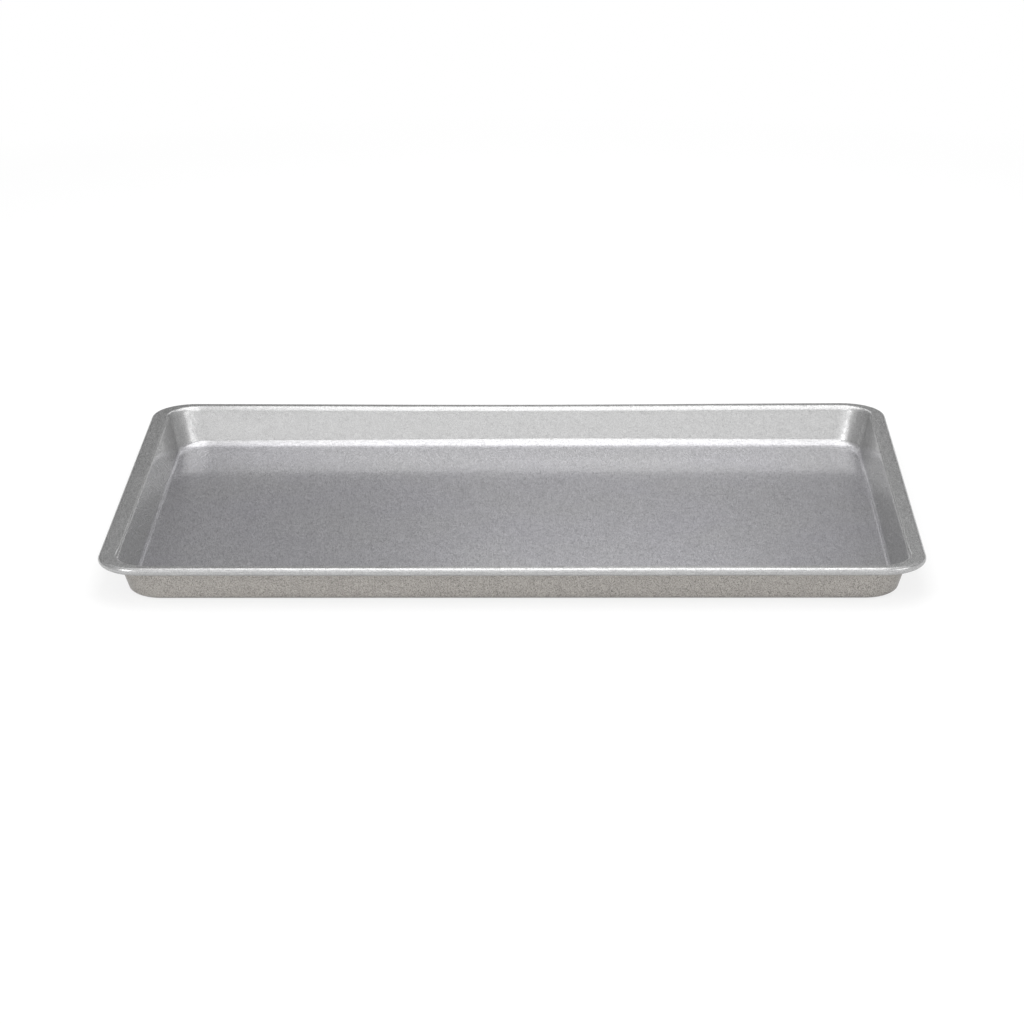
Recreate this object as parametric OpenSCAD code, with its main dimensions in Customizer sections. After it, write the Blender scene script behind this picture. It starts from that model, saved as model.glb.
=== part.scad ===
/* [Overall size] */
// Length over the rolled rim, along X
pan_l = 420; // [260:1:600]
// Width over the rolled rim, along Y
pan_w = 276; // [180:1:460]
// Height from the underside of the floor to the top of the rim
pan_h = 21; // [16:0.5:60]

/* [Sheet] */
// Thickness of the steel sheet that the pan is pressed from
sheet_t = 0.5; // [0.4:0.05:0.8]
// Lean of the four walls outward from upright, in degrees
wall_lean = 15; // [5:1:25]
// Inside radius of the bend where the floor turns up into a wall
floor_bend_r = 3; // [2:0.5:6]
// Radius on top of the bend where a wall turns out into the rim
lip_bend_r = 2.5; // [1.25:0.25:3]

/* [Rim] */
// Rim width at the two short ends, from the outermost edge to the wall's inner face
end_rim_w = 9.5; // [8:0.5:30]
// Rim width along the two long sides, measured the same way
side_rim_w = 6.5; // [6:0.5:30]
// Outermost corner radius of the rim, seen from above
rim_corner_r = 23.5; // [22:0.5:40]
// Corner radius of the floor, where its plane would meet the walls
floor_corner_r = 14; // [10:0.5:15]

/* [Rolled edge] */
// Diameter of the steel wire that the edge is rolled round
wire_d = 3; // [2:0.1:3.4]
// Clearance all round between the wire and the sheet
wire_clearance = 0.03; // [0.02:0.01:0.1]
// Turn of the sheet round the wire, in degrees from the top of the rim
roll_turn = 280; // [200:5:290]
// Gap between the two ends of the wire, in the middle of the rear rim
wire_gap = 1; // [0.2:0.1:5]

/* [Hidden] */
$fn = 96;

// Rolled edge: the sheet goes round the wire, and its top is level with the flat rim
roll_in_r = wire_d / 2 + wire_clearance;
roll_out_r = roll_in_r + sheet_t;
roll_z = pan_h - roll_out_r;
roll_corner_r = rim_corner_r - roll_out_r;
roll_x = pan_l / 2 - rim_corner_r;
roll_y = pan_w / 2 - rim_corner_r;

// Wall: run is how far it spreads from the floor's plane to the rim's plane, and a
// setback is how far a bend begins before the corner that its two planes would make
run = (pan_h - sheet_t) * tan(wall_lean);
floor_setback = floor_bend_r * tan((90 - wall_lean) / 2);
lip_setback = lip_bend_r * tan((90 - wall_lean) / 2);
bend_steps = 12;

// Centres of the four wall corners, seen from above, shared by floor, walls and rim
wall_x = pan_l / 2 - end_rim_w - run - floor_corner_r;
wall_y = pan_w / 2 - side_rim_w - run - floor_corner_r;

// Flat strip that walls and rolled edge carry on into the flat floor and rim
lap = 1;

// Points along an arc, both ends included
function arc(centre, r, from, to) = [
    for (i = [0:bend_steps])
        let (a = from + (to - from) * i / bend_steps)
            centre + r * [cos(a), sin(a)]
];

// Sheet from the flat floor, up the wall, to the flat rim, seen end on.
// X is measured outward from the line where the floor's plane would meet the wall.
module wall_section() {
    floor_bend = [-floor_setback, sheet_t + floor_bend_r];
    lip_bend = [run + lip_setback, pan_h - lip_bend_r];
    polygon(concat(
        [[-floor_setback - lap, 0]],
        arc(floor_bend, floor_bend_r + sheet_t, -90, -wall_lean),
        arc(lip_bend, lip_bend_r - sheet_t, 180 - wall_lean, 90),
        [[run + lip_setback + lap, pan_h - sheet_t], [run + lip_setback + lap, pan_h]],
        arc(lip_bend, lip_bend_r, 90, 180 - wall_lean),
        arc(floor_bend, floor_bend_r, -wall_lean, -90),
        [[-floor_setback - lap, sheet_t]]
    ));
}

// Sheet rolled round the wire, seen end on, with the wire's centre at the origin
module roll_section() {
    reach = 2 * roll_out_r;
    difference() {
        circle(r = roll_out_r);
        circle(r = roll_in_r);
        polygon(concat([[0, 0]], arc([0, 0], reach, 90, 450 - roll_turn)));
    }
    translate([-lap, roll_in_r]) square([lap, sheet_t]);
}

// Sweeps a section round the pan: four straights, and four quarter turns of radius r
// about the corner centres [x, y]
module sweep(x, y, r) {
    for (side = [0:3]) {
        out = side % 2 == 0 ? x : y;
        along = side % 2 == 0 ? y : x;
        rotate(90 * side) translate([out, along, 0]) {
            rotate_extrude(angle = 90) translate([r, 0]) children();
            rotate([90, 0, 0]) linear_extrude(2 * along) translate([r, 0]) children();
        }
    }
}

// Rectangle with round corners of radius r about the corner centres [x, y]
module round_plate(x, y, r) {
    square([2 * (x + r), 2 * y], center = true);
    square([2 * x, 2 * (y + r)], center = true);
    for (sx = [-1, 1], sy = [-1, 1]) translate([sx * x, sy * y]) circle(r = r);
}

// One pressed sheet: flat floor, leaning walls, flat rim and the edge rolled round the wire
module pan_shell() {
    color([0.62, 0.62, 0.64]) {
        linear_extrude(sheet_t)
            round_plate(wall_x, wall_y, floor_corner_r - floor_setback - lap / 2);
        sweep(wall_x, wall_y, floor_corner_r) wall_section();
        translate([0, 0, pan_h - sheet_t]) linear_extrude(sheet_t) difference() {
            round_plate(roll_x, roll_y, roll_corner_r - lap / 2);
            round_plate(wall_x, wall_y, floor_corner_r + run + lip_setback + lap / 2);
        }
        translate([0, 0, roll_z]) sweep(roll_x, roll_y, roll_corner_r) roll_section();
    }
}

// One length of wire bent to the rim's outline, with its ends meeting at the rear
module rim_wire() {
    rear_y = roll_y + roll_corner_r;
    color([0.75, 0.75, 0.76]) difference() {
        translate([0, 0, roll_z]) sweep(roll_x, roll_y, roll_corner_r) circle(d = wire_d);
        translate([-wire_gap / 2, rear_y - wire_d, roll_z - wire_d]) cube([wire_gap, 2 * wire_d, 2 * wire_d]);
    }
}

pan_shell();
rim_wire();
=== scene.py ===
import math
from collections import namedtuple

import bpy
from mathutils import Matrix, Vector

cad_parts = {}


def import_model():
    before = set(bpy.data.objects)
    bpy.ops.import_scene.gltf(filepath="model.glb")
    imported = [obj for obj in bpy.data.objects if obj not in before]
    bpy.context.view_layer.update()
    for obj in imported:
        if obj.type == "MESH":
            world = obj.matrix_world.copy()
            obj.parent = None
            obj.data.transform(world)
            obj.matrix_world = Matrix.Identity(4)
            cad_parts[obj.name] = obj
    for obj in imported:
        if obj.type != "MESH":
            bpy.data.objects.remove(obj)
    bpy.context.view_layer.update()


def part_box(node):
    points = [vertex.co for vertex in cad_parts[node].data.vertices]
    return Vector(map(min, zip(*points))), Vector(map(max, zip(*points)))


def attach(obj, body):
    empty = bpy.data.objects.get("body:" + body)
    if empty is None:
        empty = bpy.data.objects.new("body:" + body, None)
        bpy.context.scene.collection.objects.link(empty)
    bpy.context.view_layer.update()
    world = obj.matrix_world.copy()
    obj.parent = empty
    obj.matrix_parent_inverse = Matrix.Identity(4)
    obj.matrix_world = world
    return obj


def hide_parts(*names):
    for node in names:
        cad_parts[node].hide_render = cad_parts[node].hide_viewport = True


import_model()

MM = 0.001
_, shell_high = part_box("pan_shell")

# A bend's radius where it leaves the flat part and where it meets the wall, and the power
# that says how quickly one goes over into the other
Bend = namedtuple("Bend", "flat_r wall_r power")

# A closed line round the pan: half its length and width, its corner radius, its height,
# how far it is shifted to the right, and how far a full-size bend carries it outward and up
Ring = namedtuple("Ring", "half_l half_w radius z shift bend_out bend_up")

# A lamp, in degrees and metres. Azimuth 0 is the camera's side and 90 the right, a radiance
# of 1 looks white, and aside is how far the lamp is moved to the right once it is aimed.
Softbox = namedtuple("Softbox", "name azimuth elevation distance width height radiance aside")

# Outer size of the pan, from the frame
HALF_L = shell_high.x
HALF_W = shell_high.y
HEIGHT = shell_high.z

# Pressed sheet: its thickness, the lean of its walls, and the width of the rim with its
# rolled edge at the ends and along the long sides
SHEET = 0.5 * MM
WALL_LEAN = math.radians(15)
END_RIM_W = 9.5 * MM
SIDE_RIM_W = 6.5 * MM

# Corner radius of the wall's inner face, seen from above, level with the floor and the rim
FLOOR_CORNER_R = 17.0 * MM
TOP_CORNER_R = 17.0 * MM

# Rolled edge and the wire inside it
RIM_CORNER_R = 23.5 * MM
WIRE_R = 1.5 * MM
ROLL_IN_R = 1.53 * MM
ROLL_OUT_R = ROLL_IN_R + SHEET
ROLL_TURN = math.radians(280)
WIRE_GAP = 1.0 * MM

# A pan this thin is not quite true. The tray sits a little to the right in the rim. Both
# long sides of the rim sag halfway along, and the rear one also bows inward there. The
# rear wall leans more than the others, so that its foot is further in.
TRAY_SHIFT = 0.63 * MM
REAR_SAG = 0.5 * MM
FRONT_SAG = 0.15 * MM
REAR_BOW = 0.7 * MM
REAR_TOE = 5.2 * MM

# The sags, the bow and the extra lean grow to their full size between these distances from
# the long middle line. The sags and the bow also grow with height, from this one to the top.
UNEVEN_FROM = 0.5 * HALF_W
UNEVEN_TO = 0.95 * HALF_W
SAG_ABOVE = 0.2 * HEIGHT

# The floor rises towards its middle, from a line this far inside the walls' foot
FLOOR_CROWN = 0.1 * MM
CROWN_MARGIN = 4.0 * MM

# Full-size bends between the floor and a wall and between a wall and the rim
FLOOR_BEND = Bend(flat_r=62.0 * MM, wall_r=2.0 * MM, power=0.2)
LIP_BEND = Bend(flat_r=2.2 * MM, wall_r=6.0 * MM, power=3)

# Size of the bends on each side, as a share of the full size. Along the rear the floor's
# bend is largest at its centre, which is this far to the right, and smaller at the ends.
FLOOR_BEND_FRONT = 0.4
FLOOR_BEND_SIDE = 0.16
FLOOR_BEND_REAR_END = 0.53
FLOOR_BEND_REAR_MIDDLE = 0.66
FLOOR_BEND_REAR_CENTRE = 40 * MM
LIP_BEND_FRONT_AND_REAR = 1.0
LIP_BEND_SIDE = 0.5

# Where a short side's bends go over into those of a long side, as shares of the way from
# the long middle line to the long wall
BEND_CHANGE_FROM = 0.8
BEND_CHANGE_TO = 0.95

# Section of the wall, measured outward from the line where the floor's plane and the
# wall's inner face would meet. The margin is a flat strip of the floor beside its bend.
RUN = (HEIGHT - SHEET) * math.tan(WALL_LEAN)
WALL_HALF_L = HALF_L - END_RIM_W - RUN
WALL_HALF_W = HALF_W - SIDE_RIM_W - RUN
FLOOR_MARGIN = 1.2 * MM

# Line through the middle of the rolled edge
ROLL_HALF_L = HALF_L - ROLL_OUT_R
ROLL_HALF_W = HALF_W - ROLL_OUT_R
ROLL_CORNER_R = RIM_CORNER_R - ROLL_OUT_R
ROLL_Z = HEIGHT - ROLL_OUT_R

# Mesh steps along each long side, each short side and each corner
LONG_STEPS = 84
SHORT_STEPS = 52
CORNER_STEPS = 16
COLUMNS = LONG_STEPS + CORNER_STEPS
ROWS = SHORT_STEPS + CORNER_STEPS
AROUND = 2 * (COLUMNS + ROWS)

# Mesh steps across a bend, each added up from smaller parts, and across the rolled edge
BEND_STEPS = 14
PARTS_PER_STEP = 20
ROLL_OUT_STEPS = 36
ROLL_IN_STEPS = 18

# Rings added on the straight part of the wall and on either face of the flat rim
WALL_RINGS = 4
UPPER_RIM_RINGS = 4
LOWER_RIM_RINGS = 3

WIRE_SIDES = 16
SHARP_ANGLE = math.radians(50)

# Grain of the coating: flakes, and clumps that have the share the flakes leave. Roughness
# goes from its dark value to its light one between these two values of the grain.
FLAKE = 0.33 * MM
CLUMP = 0.6 * MM
FLAKE_SHARE = 0.8
GRAIN_DARK = 0.2
GRAIN_LIGHT = 0.8
ROUGH_DARK = 0.34
ROUGH_LIGHT = 0.27

# Roughness of the lacquer over the flakes, and shade of the flakes' own sheen
LACQUER_ROUGH = 0.11
SHEEN_SHADE = 0.35

# Relief of the coating: orange peel and pores in equal parts
ORANGE_PEEL = 2.5 * MM
PORE = 0.5 * MM
COATING_RELIEF = 0.03 * MM
COATING_RELIEF_STRENGTH = 0.5

# Painted tint of the floor: a cool cast that stands in for the bluer light its face reflects.
# It is full below one height and gone above the other, and it is weaker in patches, where the noise is
# low.
TINT_FULL_BELOW = 1 * MM
TINT_GONE_ABOVE = 4 * MM
PATCH = 60 * MM
PATCH_TINT = 0.5
PATCH_NOISE_LOW = 0.3
PATCH_NOISE_HIGH = 0.7

# Scratches and stains of the wire
SCRATCH = 0.3 * MM
SCRATCH_RELIEF = 0.01 * MM
SCRATCH_RELIEF_STRENGTH = 0.3
SCRATCH_ROUGH_LOW = 0.22
SCRATCH_ROUGH_HIGH = 0.42
STAIN = 9 * MM
STAINED = (0.50, 0.49, 0.47, 1)
UNSTAINED = (0.66, 0.66, 0.67, 1)

# Camera, in metres and degrees, and its focal length in pixels of the square photograph
PHOTO_SIDE_PX = 1024
CAMERA_FOCAL_PX = 3300
CAMERA_PLACE = Vector((0.02902, -1.68488, 0.59766))
CAMERA_PITCH = math.radians(19.45)
CAMERA_YAW = math.radians(-1.04)
CAMERA_ROLL = math.radians(-0.396)
SENSOR_WIDTH = 36.0

# Table. It is a grey that takes shadows, mixed with plain white: near the pan by these
# shares, for the camera and in reflections, and fully beyond the second distance.
TABLE_HALF = 12.0
TABLE_GREY = 0.8
TABLE_WHITE_NEAR = 0.79
TABLE_WHITE_REFLECTED = 0.4
TABLE_WHITE_FROM = 0.35
TABLE_WHITE_TO = 1.0

# Dark screen: how far it reaches to each side of its middle and up, how high its lower
# edge is at either end, and how far it is turned so that its middle is left of the rear
SCREEN_R = 1.5
SCREEN_LEFT = math.radians(87)
SCREEN_RIGHT = math.radians(132)
SCREEN_BOTTOM_LEFT = math.radians(1)
SCREEN_BOTTOM_RIGHT = math.radians(9)
SCREEN_TOP = math.radians(52)
SCREEN_TURN = math.radians(30)
SCREEN_COLUMNS = 24
SCREEN_ROWS = 10

# Its glow at its middle, and what is added a quarter turn to either side and straight up
SCREEN_MIDDLE = 0.03
SCREEN_SIDE = 0.26
SCREEN_RISE = 0.15

# Light from all round, and the lamps
AMBIENT = 0.8
LAMP_POWER_PER_RADIANCE = math.pi
SOFTBOXES = [
    Softbox("softbox_overhead", 180, 87, 0.75, 0.53, 1.15, 2.5, 0.033),
    Softbox("softbox_front", 0, 31, 2.25, 2.1, 0.7, 0.85, 0.0),
    Softbox("softbox_front_left", -47, 30, 2.25, 0.5, 0.9, 11.0, 0.0),
    Softbox("softbox_front_right", 58, 31, 2.25, 0.8, 0.9, 3.6, 0.0),
    Softbox("softbox_rear", 177, 31.5, 1.36, 0.32, 0.32, 2.2, 0.0),
]


def lerp(a, b, t):
    return a + (b - a) * t


def smoothstep(low, high, value):
    t = min(max((value - low) / (high - low), 0.0), 1.0)
    return t * t * (3 - 2 * t)


def steps_from(start, end, count):
    """Count + 1 evenly spaced values, both ends included."""
    return [lerp(start, end, i / count) for i in range(count + 1)]


def bend_points(bend):
    """Bend between a flat part and a wall on the sheet's upper face, measured from the
    line where the two would meet: distance towards the wall, rise and slope of each point."""
    turn = math.pi / 2 - WALL_LEAN
    parts = BEND_STEPS * PARTS_PER_STEP
    along, rise, points = 0.0, 0.0, [(0.0, 0.0, 0.0)]
    for i in range(parts):
        slope = turn * (i + 0.5) / parts
        arc = lerp(bend.flat_r, bend.wall_r, (slope / turn) ** bend.power) * turn / parts
        along += arc * math.cos(slope)
        rise += arc * math.sin(slope)
        if (i + 1) % PARTS_PER_STEP == 0:
            points.append((along, rise, turn * (i + 1) / parts))
    start = rise * math.tan(WALL_LEAN) - along
    return [(start + along, rise, slope) for along, rise, slope in points]


def wall_ring(out, z, bend_out=0.0, bend_up=0.0):
    """Ring of the wall or its bends."""
    corner = lerp(FLOOR_CORNER_R, TOP_CORNER_R - RUN, z / HEIGHT)
    return Ring(WALL_HALF_L + out, WALL_HALF_W + out, corner + out, z, TRAY_SHIFT, bend_out, bend_up)


def roll_ring(radius, angle):
    """Ring of the rolled edge or the wire. Angle 0 points outward and a quarter turn up."""
    out = radius * math.cos(angle)
    z = ROLL_Z + radius * math.sin(angle)
    return Ring(ROLL_HALF_L + out, ROLL_HALF_W + out, ROLL_CORNER_R + out, z, 0.0, 0.0, 0.0)


def rings_between(a, b, count):
    """Rings strictly between two others."""
    return [Ring(*(lerp(p, q, i / (count + 1)) for p, q in zip(a, b))) for i in range(1, count + 1)]


def wall_rings(depth):
    """Rings from the flat floor to the flat rim, on the face that lies depth below the
    sheet's upper face."""
    floor = bend_points(FLOOR_BEND)
    lip = bend_points(LIP_BEND)[::-1]
    floor_rings = [
        wall_ring(depth * math.sin(slope), SHEET - depth * math.cos(slope), along, rise)
        for along, rise, slope in floor
    ]
    lip_rings = [
        wall_ring(RUN + depth * math.sin(slope), HEIGHT - depth * math.cos(slope), -along, -rise)
        for along, rise, slope in lip
    ]
    margin = floor_rings[0]._replace(bend_out=floor[0][0] - FLOOR_MARGIN)
    straight = rings_between(floor_rings[-1], lip_rings[0], WALL_RINGS)
    return [margin] + floor_rings + straight + lip_rings


def bend_size(x, y, z):
    """Size of the bend at a point near the floor or near the rim, as a share of the full size."""
    rear = smoothstep(BEND_CHANGE_FROM, BEND_CHANGE_TO, y / WALL_HALF_W)
    front = smoothstep(BEND_CHANGE_FROM, BEND_CHANGE_TO, -y / WALL_HALF_W)
    if z > HEIGHT / 2:
        return lerp(LIP_BEND_SIDE, LIP_BEND_FRONT_AND_REAR, max(rear, front))
    middle = math.cos(0.5 * math.pi * (x - FLOOR_BEND_REAR_CENTRE) / HALF_L) ** 2
    along_rear = lerp(FLOOR_BEND_REAR_END, FLOOR_BEND_REAR_MIDDLE, middle)
    return lerp(lerp(FLOOR_BEND_SIDE, along_rear, rear), FLOOR_BEND_FRONT, front)


def settled(x, y, z):
    """Where a point of the ideal pan is on this one."""
    middle = math.cos(0.5 * math.pi * x / HALF_L) ** 2
    high = smoothstep(SAG_ABOVE, HEIGHT, z) * middle
    rear = smoothstep(UNEVEN_FROM, UNEVEN_TO, y)
    front = smoothstep(UNEVEN_FROM, UNEVEN_TO, -y)
    bow = REAR_BOW * rear * high
    toe = REAR_TOE * rear * (1 - z / HEIGHT)
    sag = (REAR_SAG * rear + FRONT_SAG * front) * high
    return Vector((x, y - bow - toe, z - sag))


def ring_points(ring):
    """Points of a ring, anticlockwise from the middle of the rear right corner."""
    centre_x = ring.half_l - ring.radius
    centre_y = ring.half_w - ring.radius
    stations = []
    for k, (sx, sy) in enumerate([(1, 1), (-1, 1), (-1, -1), (1, -1)]):
        for a in steps_from(k * math.pi / 2, (k + 1) * math.pi / 2, CORNER_STEPS):
            out_x, out_y = math.cos(a), math.sin(a)
            x = sx * centre_x + ring.radius * out_x
            y = sy * centre_y + ring.radius * out_y
            stations.append((x, y, out_x, out_y))
        if k % 2 == 0:
            stations += [(lerp(x, -x, i / LONG_STEPS), y, out_x, out_y) for i in range(1, LONG_STEPS)]
        else:
            stations += [(x, lerp(y, -y, i / SHORT_STEPS), out_x, out_y) for i in range(1, SHORT_STEPS)]
    half = CORNER_STEPS // 2
    points = []
    for x, y, out_x, out_y in stations[half:] + stations[:half]:
        size = bend_size(x, y, ring.z)
        out = size * ring.bend_out
        points.append(settled(x + ring.shift + out * out_x, y + out * out_y, ring.z + size * ring.bend_up))
    return points


def crown(x, y):
    """How far the floor rises between its edges, from 0 at the bend to 1 in the middle."""
    inside_l = 1 - ((x - TRAY_SHIFT) / (WALL_HALF_L - CROWN_MARGIN)) ** 2
    inside_w = 1 - (y / (WALL_HALF_W - CROWN_MARGIN)) ** 2
    return max(inside_l, 0) * max(inside_w, 0)


def floor_patch(edge, first, new, up):
    """Grid of quads that fills the floor inside a ring's points. First is the number of
    the ring's first point and new that of the first point to be added. Gives the added
    points and the quads."""

    def front(i):
        return COLUMNS + ROWS + i

    def rear(i):
        return COLUMNS - i

    def left(j):
        return COLUMNS + ROWS - j

    def right(j):
        return (2 * COLUMNS + ROWS + j) % AROUND

    def number(i, j):
        if j == 0:
            return first + front(i)
        if j == ROWS:
            return first + rear(i)
        if i == 0:
            return first + left(j)
        if i == COLUMNS:
            return first + right(j)
        return new + (i - 1) * (ROWS - 1) + j - 1

    points = []
    for i in range(1, COLUMNS):
        u = i / COLUMNS
        for j in range(1, ROWS):
            v = j / ROWS
            across = edge[front(i)].lerp(edge[rear(i)], v) + edge[left(j)].lerp(edge[right(j)], u)
            corners = edge[front(0)].lerp(edge[front(COLUMNS)], u).lerp(
                edge[rear(0)].lerp(edge[rear(COLUMNS)], u), v
            )
            point = across - corners
            point.z += FLOOR_CROWN * crown(point.x, point.y)
            points.append(point)
    quads = []
    for i in range(COLUMNS):
        for j in range(ROWS):
            quad = [number(i, j), number(i + 1, j), number(i + 1, j + 1), number(i, j + 1)]
            quads.append(quad if up else quad[::-1])
    return points, quads


def mesh_object(name, points, faces, *materials):
    mesh = bpy.data.meshes.new(name)
    mesh.from_pydata(points, [], faces)
    mesh.polygons.foreach_set("use_smooth", [True] * len(faces))
    mesh.set_sharp_from_angle(angle=SHARP_ANGLE)
    mesh.update()
    for material in materials:
        mesh.materials.append(material)
    made = bpy.data.objects.new(name, mesh)
    bpy.context.collection.objects.link(made)
    return made


def pan_sheet(inside, outside):
    """The whole pressed sheet as one closed mesh of its real thickness: floor, walls, flat
    rim and rolled edge, first over the upper face and then back under the lower one."""
    top = math.pi / 2
    end = top - ROLL_TURN
    upper_wall = wall_rings(0)
    roll_outside = [roll_ring(ROLL_OUT_R, a) for a in steps_from(top, end, ROLL_OUT_STEPS)]
    upper_rim = rings_between(upper_wall[-1], roll_outside[0], UPPER_RIM_RINGS)
    roll_inside = [roll_ring(ROLL_IN_R, a) for a in steps_from(end, top, ROLL_IN_STEPS)]
    lower_wall = wall_rings(SHEET)[::-1]
    lower_rim = rings_between(roll_inside[-1], lower_wall[0], LOWER_RIM_RINGS)
    upper = upper_wall + upper_rim + roll_outside
    rings = upper + roll_inside + lower_rim + lower_wall

    points = [point for ring in rings for point in ring_points(ring)]
    faces = []
    for k in range(len(rings) - 1):
        for i in range(AROUND):
            here = k * AROUND
            beyond = here + AROUND
            after = (i + 1) % AROUND
            faces.append([here + i, beyond + i, beyond + after, here + after])
    inside_faces = (len(upper) - 1) * AROUND
    outside_faces = len(faces) - inside_faces

    last = (len(rings) - 1) * AROUND
    top_points, top_quads = floor_patch(points[:AROUND], 0, len(points), up=True)
    points += top_points
    under_points, under_quads = floor_patch(points[last:last + AROUND], last, len(points), up=False)
    points += under_points
    faces += top_quads + under_quads

    made = mesh_object("pan_sheet", points, faces, inside, outside)
    slots = [0] * inside_faces + [1] * outside_faces + [0] * len(top_quads) + [1] * len(under_quads)
    made.data.polygons.foreach_set("material_index", slots)
    return made


def wire(material):
    """The wire in the rolled edge: one length, its ends facing each other at the rear."""
    sides = WIRE_SIDES
    middle = COLUMNS // 2
    section = [ring_points(roll_ring(WIRE_R, 2 * math.pi * m / sides)) for m in range(sides)]
    stations = [(middle + s) % AROUND for s in range(AROUND + 1)]
    points = [section[m][s].copy() for s in stations for m in range(sides)]
    for m in range(sides):
        points[m].x -= WIRE_GAP / 2
        points[m - sides].x += WIRE_GAP / 2
    faces = []
    for s in range(AROUND):
        for m in range(sides):
            here = s * sides
            beyond = here + sides
            after = (m + 1) % sides
            faces.append([here + m, beyond + m, beyond + after, here + after])
    end = AROUND * sides
    faces.append(list(range(sides)))
    faces.append([end + m for m in reversed(range(sides))])
    return mesh_object("drawn_wire", points, faces, material)


def grey(value):
    return (value, value, value, 1)


def new_tree(name):
    """A material without nodes. Gives the material and its node tree."""
    material = bpy.data.materials.new(name)
    material.use_nodes = True
    material.node_tree.nodes.clear()
    return material, material.node_tree


def add(tree, kind, inputs=None, **settings):
    """Adds a node. An input is a value, or the socket that feeds it."""
    node = tree.nodes.new(kind)
    for key, value in settings.items():
        setattr(node, key, value)
    for key, value in (inputs or {}).items():
        if isinstance(value, bpy.types.NodeSocket):
            tree.links.new(value, node.inputs[key])
        else:
            node.inputs[key].default_value = value
    return node


def object_coordinates(tree):
    return add(tree, "ShaderNodeTexCoord").outputs["Object"]


def noise(tree, place, size, detail=2.0):
    """Smooth noise from 0 to 1 whose spots are about size across, in metres."""
    inputs = {"Vector": place, "Scale": 1 / size, "Detail": detail, "Roughness": 0.5}
    return add(tree, "ShaderNodeTexNoise", inputs).outputs["Fac"]


def flakes(tree, place, size):
    """A random value from 0 to 1 for each flake of the coating, size across."""
    cells = add(tree, "ShaderNodeTexVoronoi", {"Vector": place, "Scale": 1 / size, "Randomness": 1.0})
    return add(tree, "ShaderNodeSeparateColor", {"Color": cells.outputs["Color"]}).outputs["Red"]


def spread(tree, value, low, high, from_low=0.0, from_high=1.0):
    """Spreads a value that goes from from_low to from_high over the range from low to high."""
    inputs = {"Value": value, "From Min": from_low, "From Max": from_high, "To Min": low, "To Max": high}
    return add(tree, "ShaderNodeMapRange", inputs).outputs["Result"]


def maths(tree, operation, a, b):
    return add(tree, "ShaderNodeMath", {0: a, 1: b}, operation=operation).outputs["Value"]


def mixed(tree, factor, a, b, blend_type="MIX"):
    """Two colours mixed. Each is a colour or a socket."""
    inputs = {0: factor, 6: a, 7: b}
    return add(tree, "ShaderNodeMix", inputs, data_type="RGBA", blend_type=blend_type).outputs[2]


def coated_steel(name, dark, light, painted_floor_tint, metallic, coat, grain_scale):
    """Silver-grey non-stick coating: metal flakes in a satin lacquer. Dark and light are the
    flakes' shades. The floor's slight tint is painted light: a cool cast standing in for the
    bluer light its face reflects. Metallic says how bare the flakes lie, coat how much clear
    lacquer is over them, and grain scale how fine the grain is along each axis."""
    material, tree = new_tree(name)
    place = object_coordinates(tree)
    grain_place = add(tree, "ShaderNodeMapping", {"Vector": place, "Scale": grain_scale}).outputs["Vector"]
    fine = maths(tree, "MULTIPLY", flakes(tree, grain_place, FLAKE), FLAKE_SHARE)
    clumps = maths(tree, "MULTIPLY", noise(tree, grain_place, CLUMP), 1 - FLAKE_SHARE)
    grain = maths(tree, "ADD", fine, clumps)
    colour = mixed(tree, grain, dark, light)

    # Painted cool tint on the floor, standing in for the bluer light it reflects
    height_over_table = add(tree, "ShaderNodeSeparateXYZ", {"Vector": place}).outputs["Z"]
    on_floor = spread(tree, height_over_table, 1.0, 0.0, TINT_FULL_BELOW, TINT_GONE_ABOVE)
    patches = spread(tree, noise(tree, place, PATCH), PATCH_TINT, 1.0, PATCH_NOISE_LOW, PATCH_NOISE_HIGH)
    tinted = mixed(tree, maths(tree, "MULTIPLY", on_floor, patches), colour, painted_floor_tint, "MULTIPLY")

    peel = maths(tree, "MULTIPLY", noise(tree, place, ORANGE_PEEL), 0.5)
    pores = maths(tree, "MULTIPLY", noise(tree, place, PORE), 0.5)
    bump = add(tree, "ShaderNodeBump", {
        "Strength": COATING_RELIEF_STRENGTH,
        "Distance": COATING_RELIEF,
        "Height": maths(tree, "ADD", peel, pores),
    })

    shader = add(tree, "ShaderNodeBsdfPrincipled", {
        "Base Color": tinted,
        "Metallic": metallic,
        "Specular Tint": grey(SHEEN_SHADE),
        "Roughness": spread(tree, grain, ROUGH_DARK, ROUGH_LIGHT, GRAIN_DARK, GRAIN_LIGHT),
        "Coat Weight": coat,
        "Coat Roughness": LACQUER_ROUGH,
        "Normal": bump.outputs["Normal"],
    })
    add(tree, "ShaderNodeOutputMaterial", {"Surface": shader.outputs["BSDF"]})
    return material


def drawn_steel(name):
    """Bright wire with fine scratches from the drawing die and faint stains."""
    material, tree = new_tree(name)
    place = object_coordinates(tree)
    scratches = noise(tree, place, SCRATCH, detail=4.0)
    stains = noise(tree, place, STAIN)
    bump = add(tree, "ShaderNodeBump", {
        "Strength": SCRATCH_RELIEF_STRENGTH,
        "Distance": SCRATCH_RELIEF,
        "Height": scratches,
    })
    shader = add(tree, "ShaderNodeBsdfPrincipled", {
        "Base Color": mixed(tree, stains, STAINED, UNSTAINED),
        "Metallic": 1.0,
        "Roughness": spread(tree, scratches, SCRATCH_ROUGH_LOW, SCRATCH_ROUGH_HIGH),
        "Normal": bump.outputs["Normal"],
    })
    add(tree, "ShaderNodeOutputMaterial", {"Surface": shader.outputs["BSDF"]})
    return material


def background_rays(tree):
    """1 for a ray that comes from the camera or from a glossy or clear surface, else 0."""
    path = add(tree, "ShaderNodeLightPath")
    seen = maths(tree, "MAXIMUM", path.outputs["Is Camera Ray"], path.outputs["Is Glossy Ray"])
    return maths(tree, "MAXIMUM", seen, path.outputs["Is Transmission Ray"])


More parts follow.
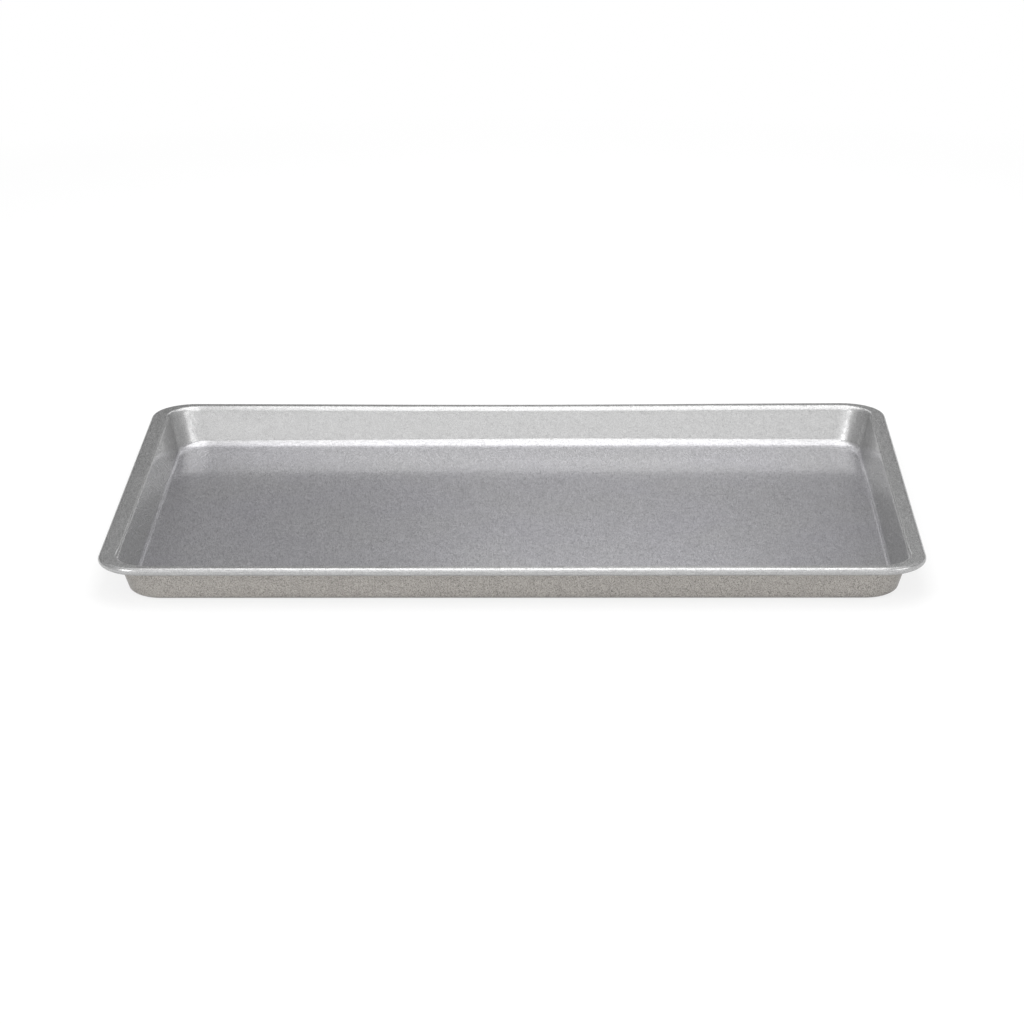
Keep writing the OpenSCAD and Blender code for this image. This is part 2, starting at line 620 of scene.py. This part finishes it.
def table_white():
    """Grey that takes the pan's shadow. Further out it is plain white, like the background,
    and near the pan it is partly so, which keeps the shadow light."""
    material, tree = new_tree("white_table")
    place = object_coordinates(tree)
    distance = add(tree, "ShaderNodeVectorMath", {0: place}, operation="LENGTH").outputs["Value"]
    far = spread(tree, distance, 0.0, 1.0, TABLE_WHITE_FROM, TABLE_WHITE_TO)
    camera_ray = add(tree, "ShaderNodeLightPath").outputs["Is Camera Ray"]
    near = spread(tree, camera_ray, TABLE_WHITE_REFLECTED, TABLE_WHITE_NEAR)
    whiteness = maths(tree, "MULTIPLY", maths(tree, "MAXIMUM", far, near), background_rays(tree))
    diffuse = add(tree, "ShaderNodeBsdfDiffuse", {"Color": grey(TABLE_GREY)})
    white = add(tree, "ShaderNodeEmission", {"Color": grey(1), "Strength": 1.0})
    both = add(tree, "ShaderNodeMixShader", {
        0: whiteness,
        1: diffuse.outputs["BSDF"],
        2: white.outputs["Emission"],
    })
    add(tree, "ShaderNodeOutputMaterial", {"Surface": both.outputs["Shader"]})
    return material


def table():
    """One large quad under the pan."""
    corners = [TABLE_HALF * Vector(at) for at in ((-1, -1, 0), (1, -1, 0), (1, 1, 0), (-1, 1, 0))]
    made = mesh_object("table", corners, [[0, 1, 2, 3]], table_white())


def dark_cloth():
    """Grey that glows a little, least at the screen's middle and more to its sides and top."""
    material, tree = new_tree("dark_cloth")
    axes = add(tree, "ShaderNodeSeparateXYZ", {"Vector": object_coordinates(tree)})
    opposite = 2 * SCREEN_SIDE + SCREEN_MIDDLE
    sideways = spread(tree, axes.outputs["Y"], opposite, SCREEN_MIDDLE, -SCREEN_R, SCREEN_R)
    upwards = spread(tree, axes.outputs["Z"], 0.0, SCREEN_RISE, 0.0, SCREEN_R)
    glow = add(tree, "ShaderNodeEmission", {
        "Color": grey(1),
        "Strength": maths(tree, "ADD", sideways, upwards),
    })
    add(tree, "ShaderNodeOutputMaterial", {"Surface": glow.outputs["Emission"]})
    return material


def dark_screen():
    """Part of a dark dome round the pan, seen only in the metal. Its lower edge climbs from
    its left end to its right one."""
    points = []
    for i, a in enumerate(steps_from(-SCREEN_RIGHT, SCREEN_LEFT, SCREEN_COLUMNS)):
        bottom = lerp(SCREEN_BOTTOM_RIGHT, SCREEN_BOTTOM_LEFT, i / SCREEN_COLUMNS)
        for e in steps_from(bottom, SCREEN_TOP, SCREEN_ROWS):
            flat = SCREEN_R * math.cos(e)
            points.append(Vector((-flat * math.sin(a), flat * math.cos(a), SCREEN_R * math.sin(e))))
    faces = []
    for i in range(SCREEN_COLUMNS):
        for j in range(SCREEN_ROWS):
            here = i * (SCREEN_ROWS + 1) + j
            beyond = here + SCREEN_ROWS + 1
            faces.append([here, here + 1, beyond + 1, beyond])
    made = mesh_object("dark_screen", points, faces, dark_cloth())
    made.matrix_world = Matrix.Rotation(SCREEN_TURN, 4, "Z")
    made.visible_camera = False
    made.visible_diffuse = False
    made.visible_shadow = False


def world():
    """White where the background is seen, and a soft even grey as light."""
    made = bpy.data.worlds.new("studio")
    made.use_nodes = True
    tree = made.node_tree
    tree.nodes.clear()
    strength = spread(tree, background_rays(tree), AMBIENT, 1.0)
    background = add(tree, "ShaderNodeBackground", {"Color": grey(1), "Strength": strength})
    add(tree, "ShaderNodeOutputWorld", {"Surface": background.outputs["Background"]})
    bpy.context.scene.world = made


def facing_pan(place):
    """Turns an object's -Z from its place towards the middle of the pan, with its X level."""
    turn = (Vector((0, 0, 0)) - place).to_track_quat("-Z", "Y").to_matrix().to_4x4()
    return Matrix.Translation(place) @ turn


def softbox(box):
    """Area lamp whose light alone is seen."""
    a = math.radians(box.azimuth)
    e = math.radians(box.elevation)
    place = box.distance * Vector((math.sin(a) * math.cos(e), -math.cos(a) * math.cos(e), math.sin(e)))
    lamp = bpy.data.lights.new(box.name, "AREA")
    lamp.shape = "RECTANGLE"
    lamp.size = box.width
    lamp.size_y = box.height
    lamp.energy = box.radiance * LAMP_POWER_PER_RADIANCE * box.width * box.height
    made = bpy.data.objects.new(box.name, lamp)
    made.matrix_world = Matrix.Translation((box.aside, 0, 0)) @ facing_pan(place)
    made.visible_camera = False
    bpy.context.collection.objects.link(made)


def camera():
    """Camera of the photograph, worked out from the pan's converging edges."""
    data = bpy.data.cameras.new("camera")
    data.sensor_width = SENSOR_WIDTH
    data.lens = CAMERA_FOCAL_PX / PHOTO_SIDE_PX * data.sensor_width
    made = bpy.data.objects.new("camera", data)
    turn = Matrix.Rotation(-CAMERA_YAW, 4, "Z")
    turn = turn @ Matrix.Rotation(math.pi / 2 - CAMERA_PITCH, 4, "X")
    turn = turn @ Matrix.Rotation(CAMERA_ROLL, 4, "Z")
    made.matrix_world = Matrix.Translation(CAMERA_PLACE) @ turn
    bpy.context.collection.objects.link(made)
    bpy.context.scene.camera = made


camera()
world()
table()
dark_screen()
for box in SOFTBOXES:
    softbox(box)

# The inside's grain is drawn out from front to rear, because the camera looks at the floor
# from so low that it sees the grain shortened
inside_coating = coated_steel(
    "coating_inside",
    dark=grey(0.152),
    light=grey(0.585),
    # painted cool tint on the floor, standing in for the bluer light it reflects
    painted_floor_tint=(0.99, 0.98, 1.04, 1),
    metallic=0.58,
    coat=0.65,
    grain_scale=(1.3, 0.3, 2.0),
)
# The outside's grain and the lightness of its shades are the coating's own. Their warm tint is painted: it
# stands in for the warm-toned table that the outside reflects.
outside_coating = coated_steel(
    "coating_outside",
    dark=(0.015, 0.014, 0.013, 1),
    light=(0.70, 0.665, 0.622, 1),
    painted_floor_tint=grey(1),
    metallic=0.4,
    coat=0.3,
    grain_scale=(1.4, 1.4, 1.4),
)
sheet = pan_sheet(inside_coating, outside_coating)
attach(sheet, "root")
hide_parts("pan_shell")

rim_wire = wire(drawn_steel("wire_steel"))
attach(rim_wire, "root")
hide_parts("rim_wire")

bpy.context.scene.view_settings.view_transform = "Standard"
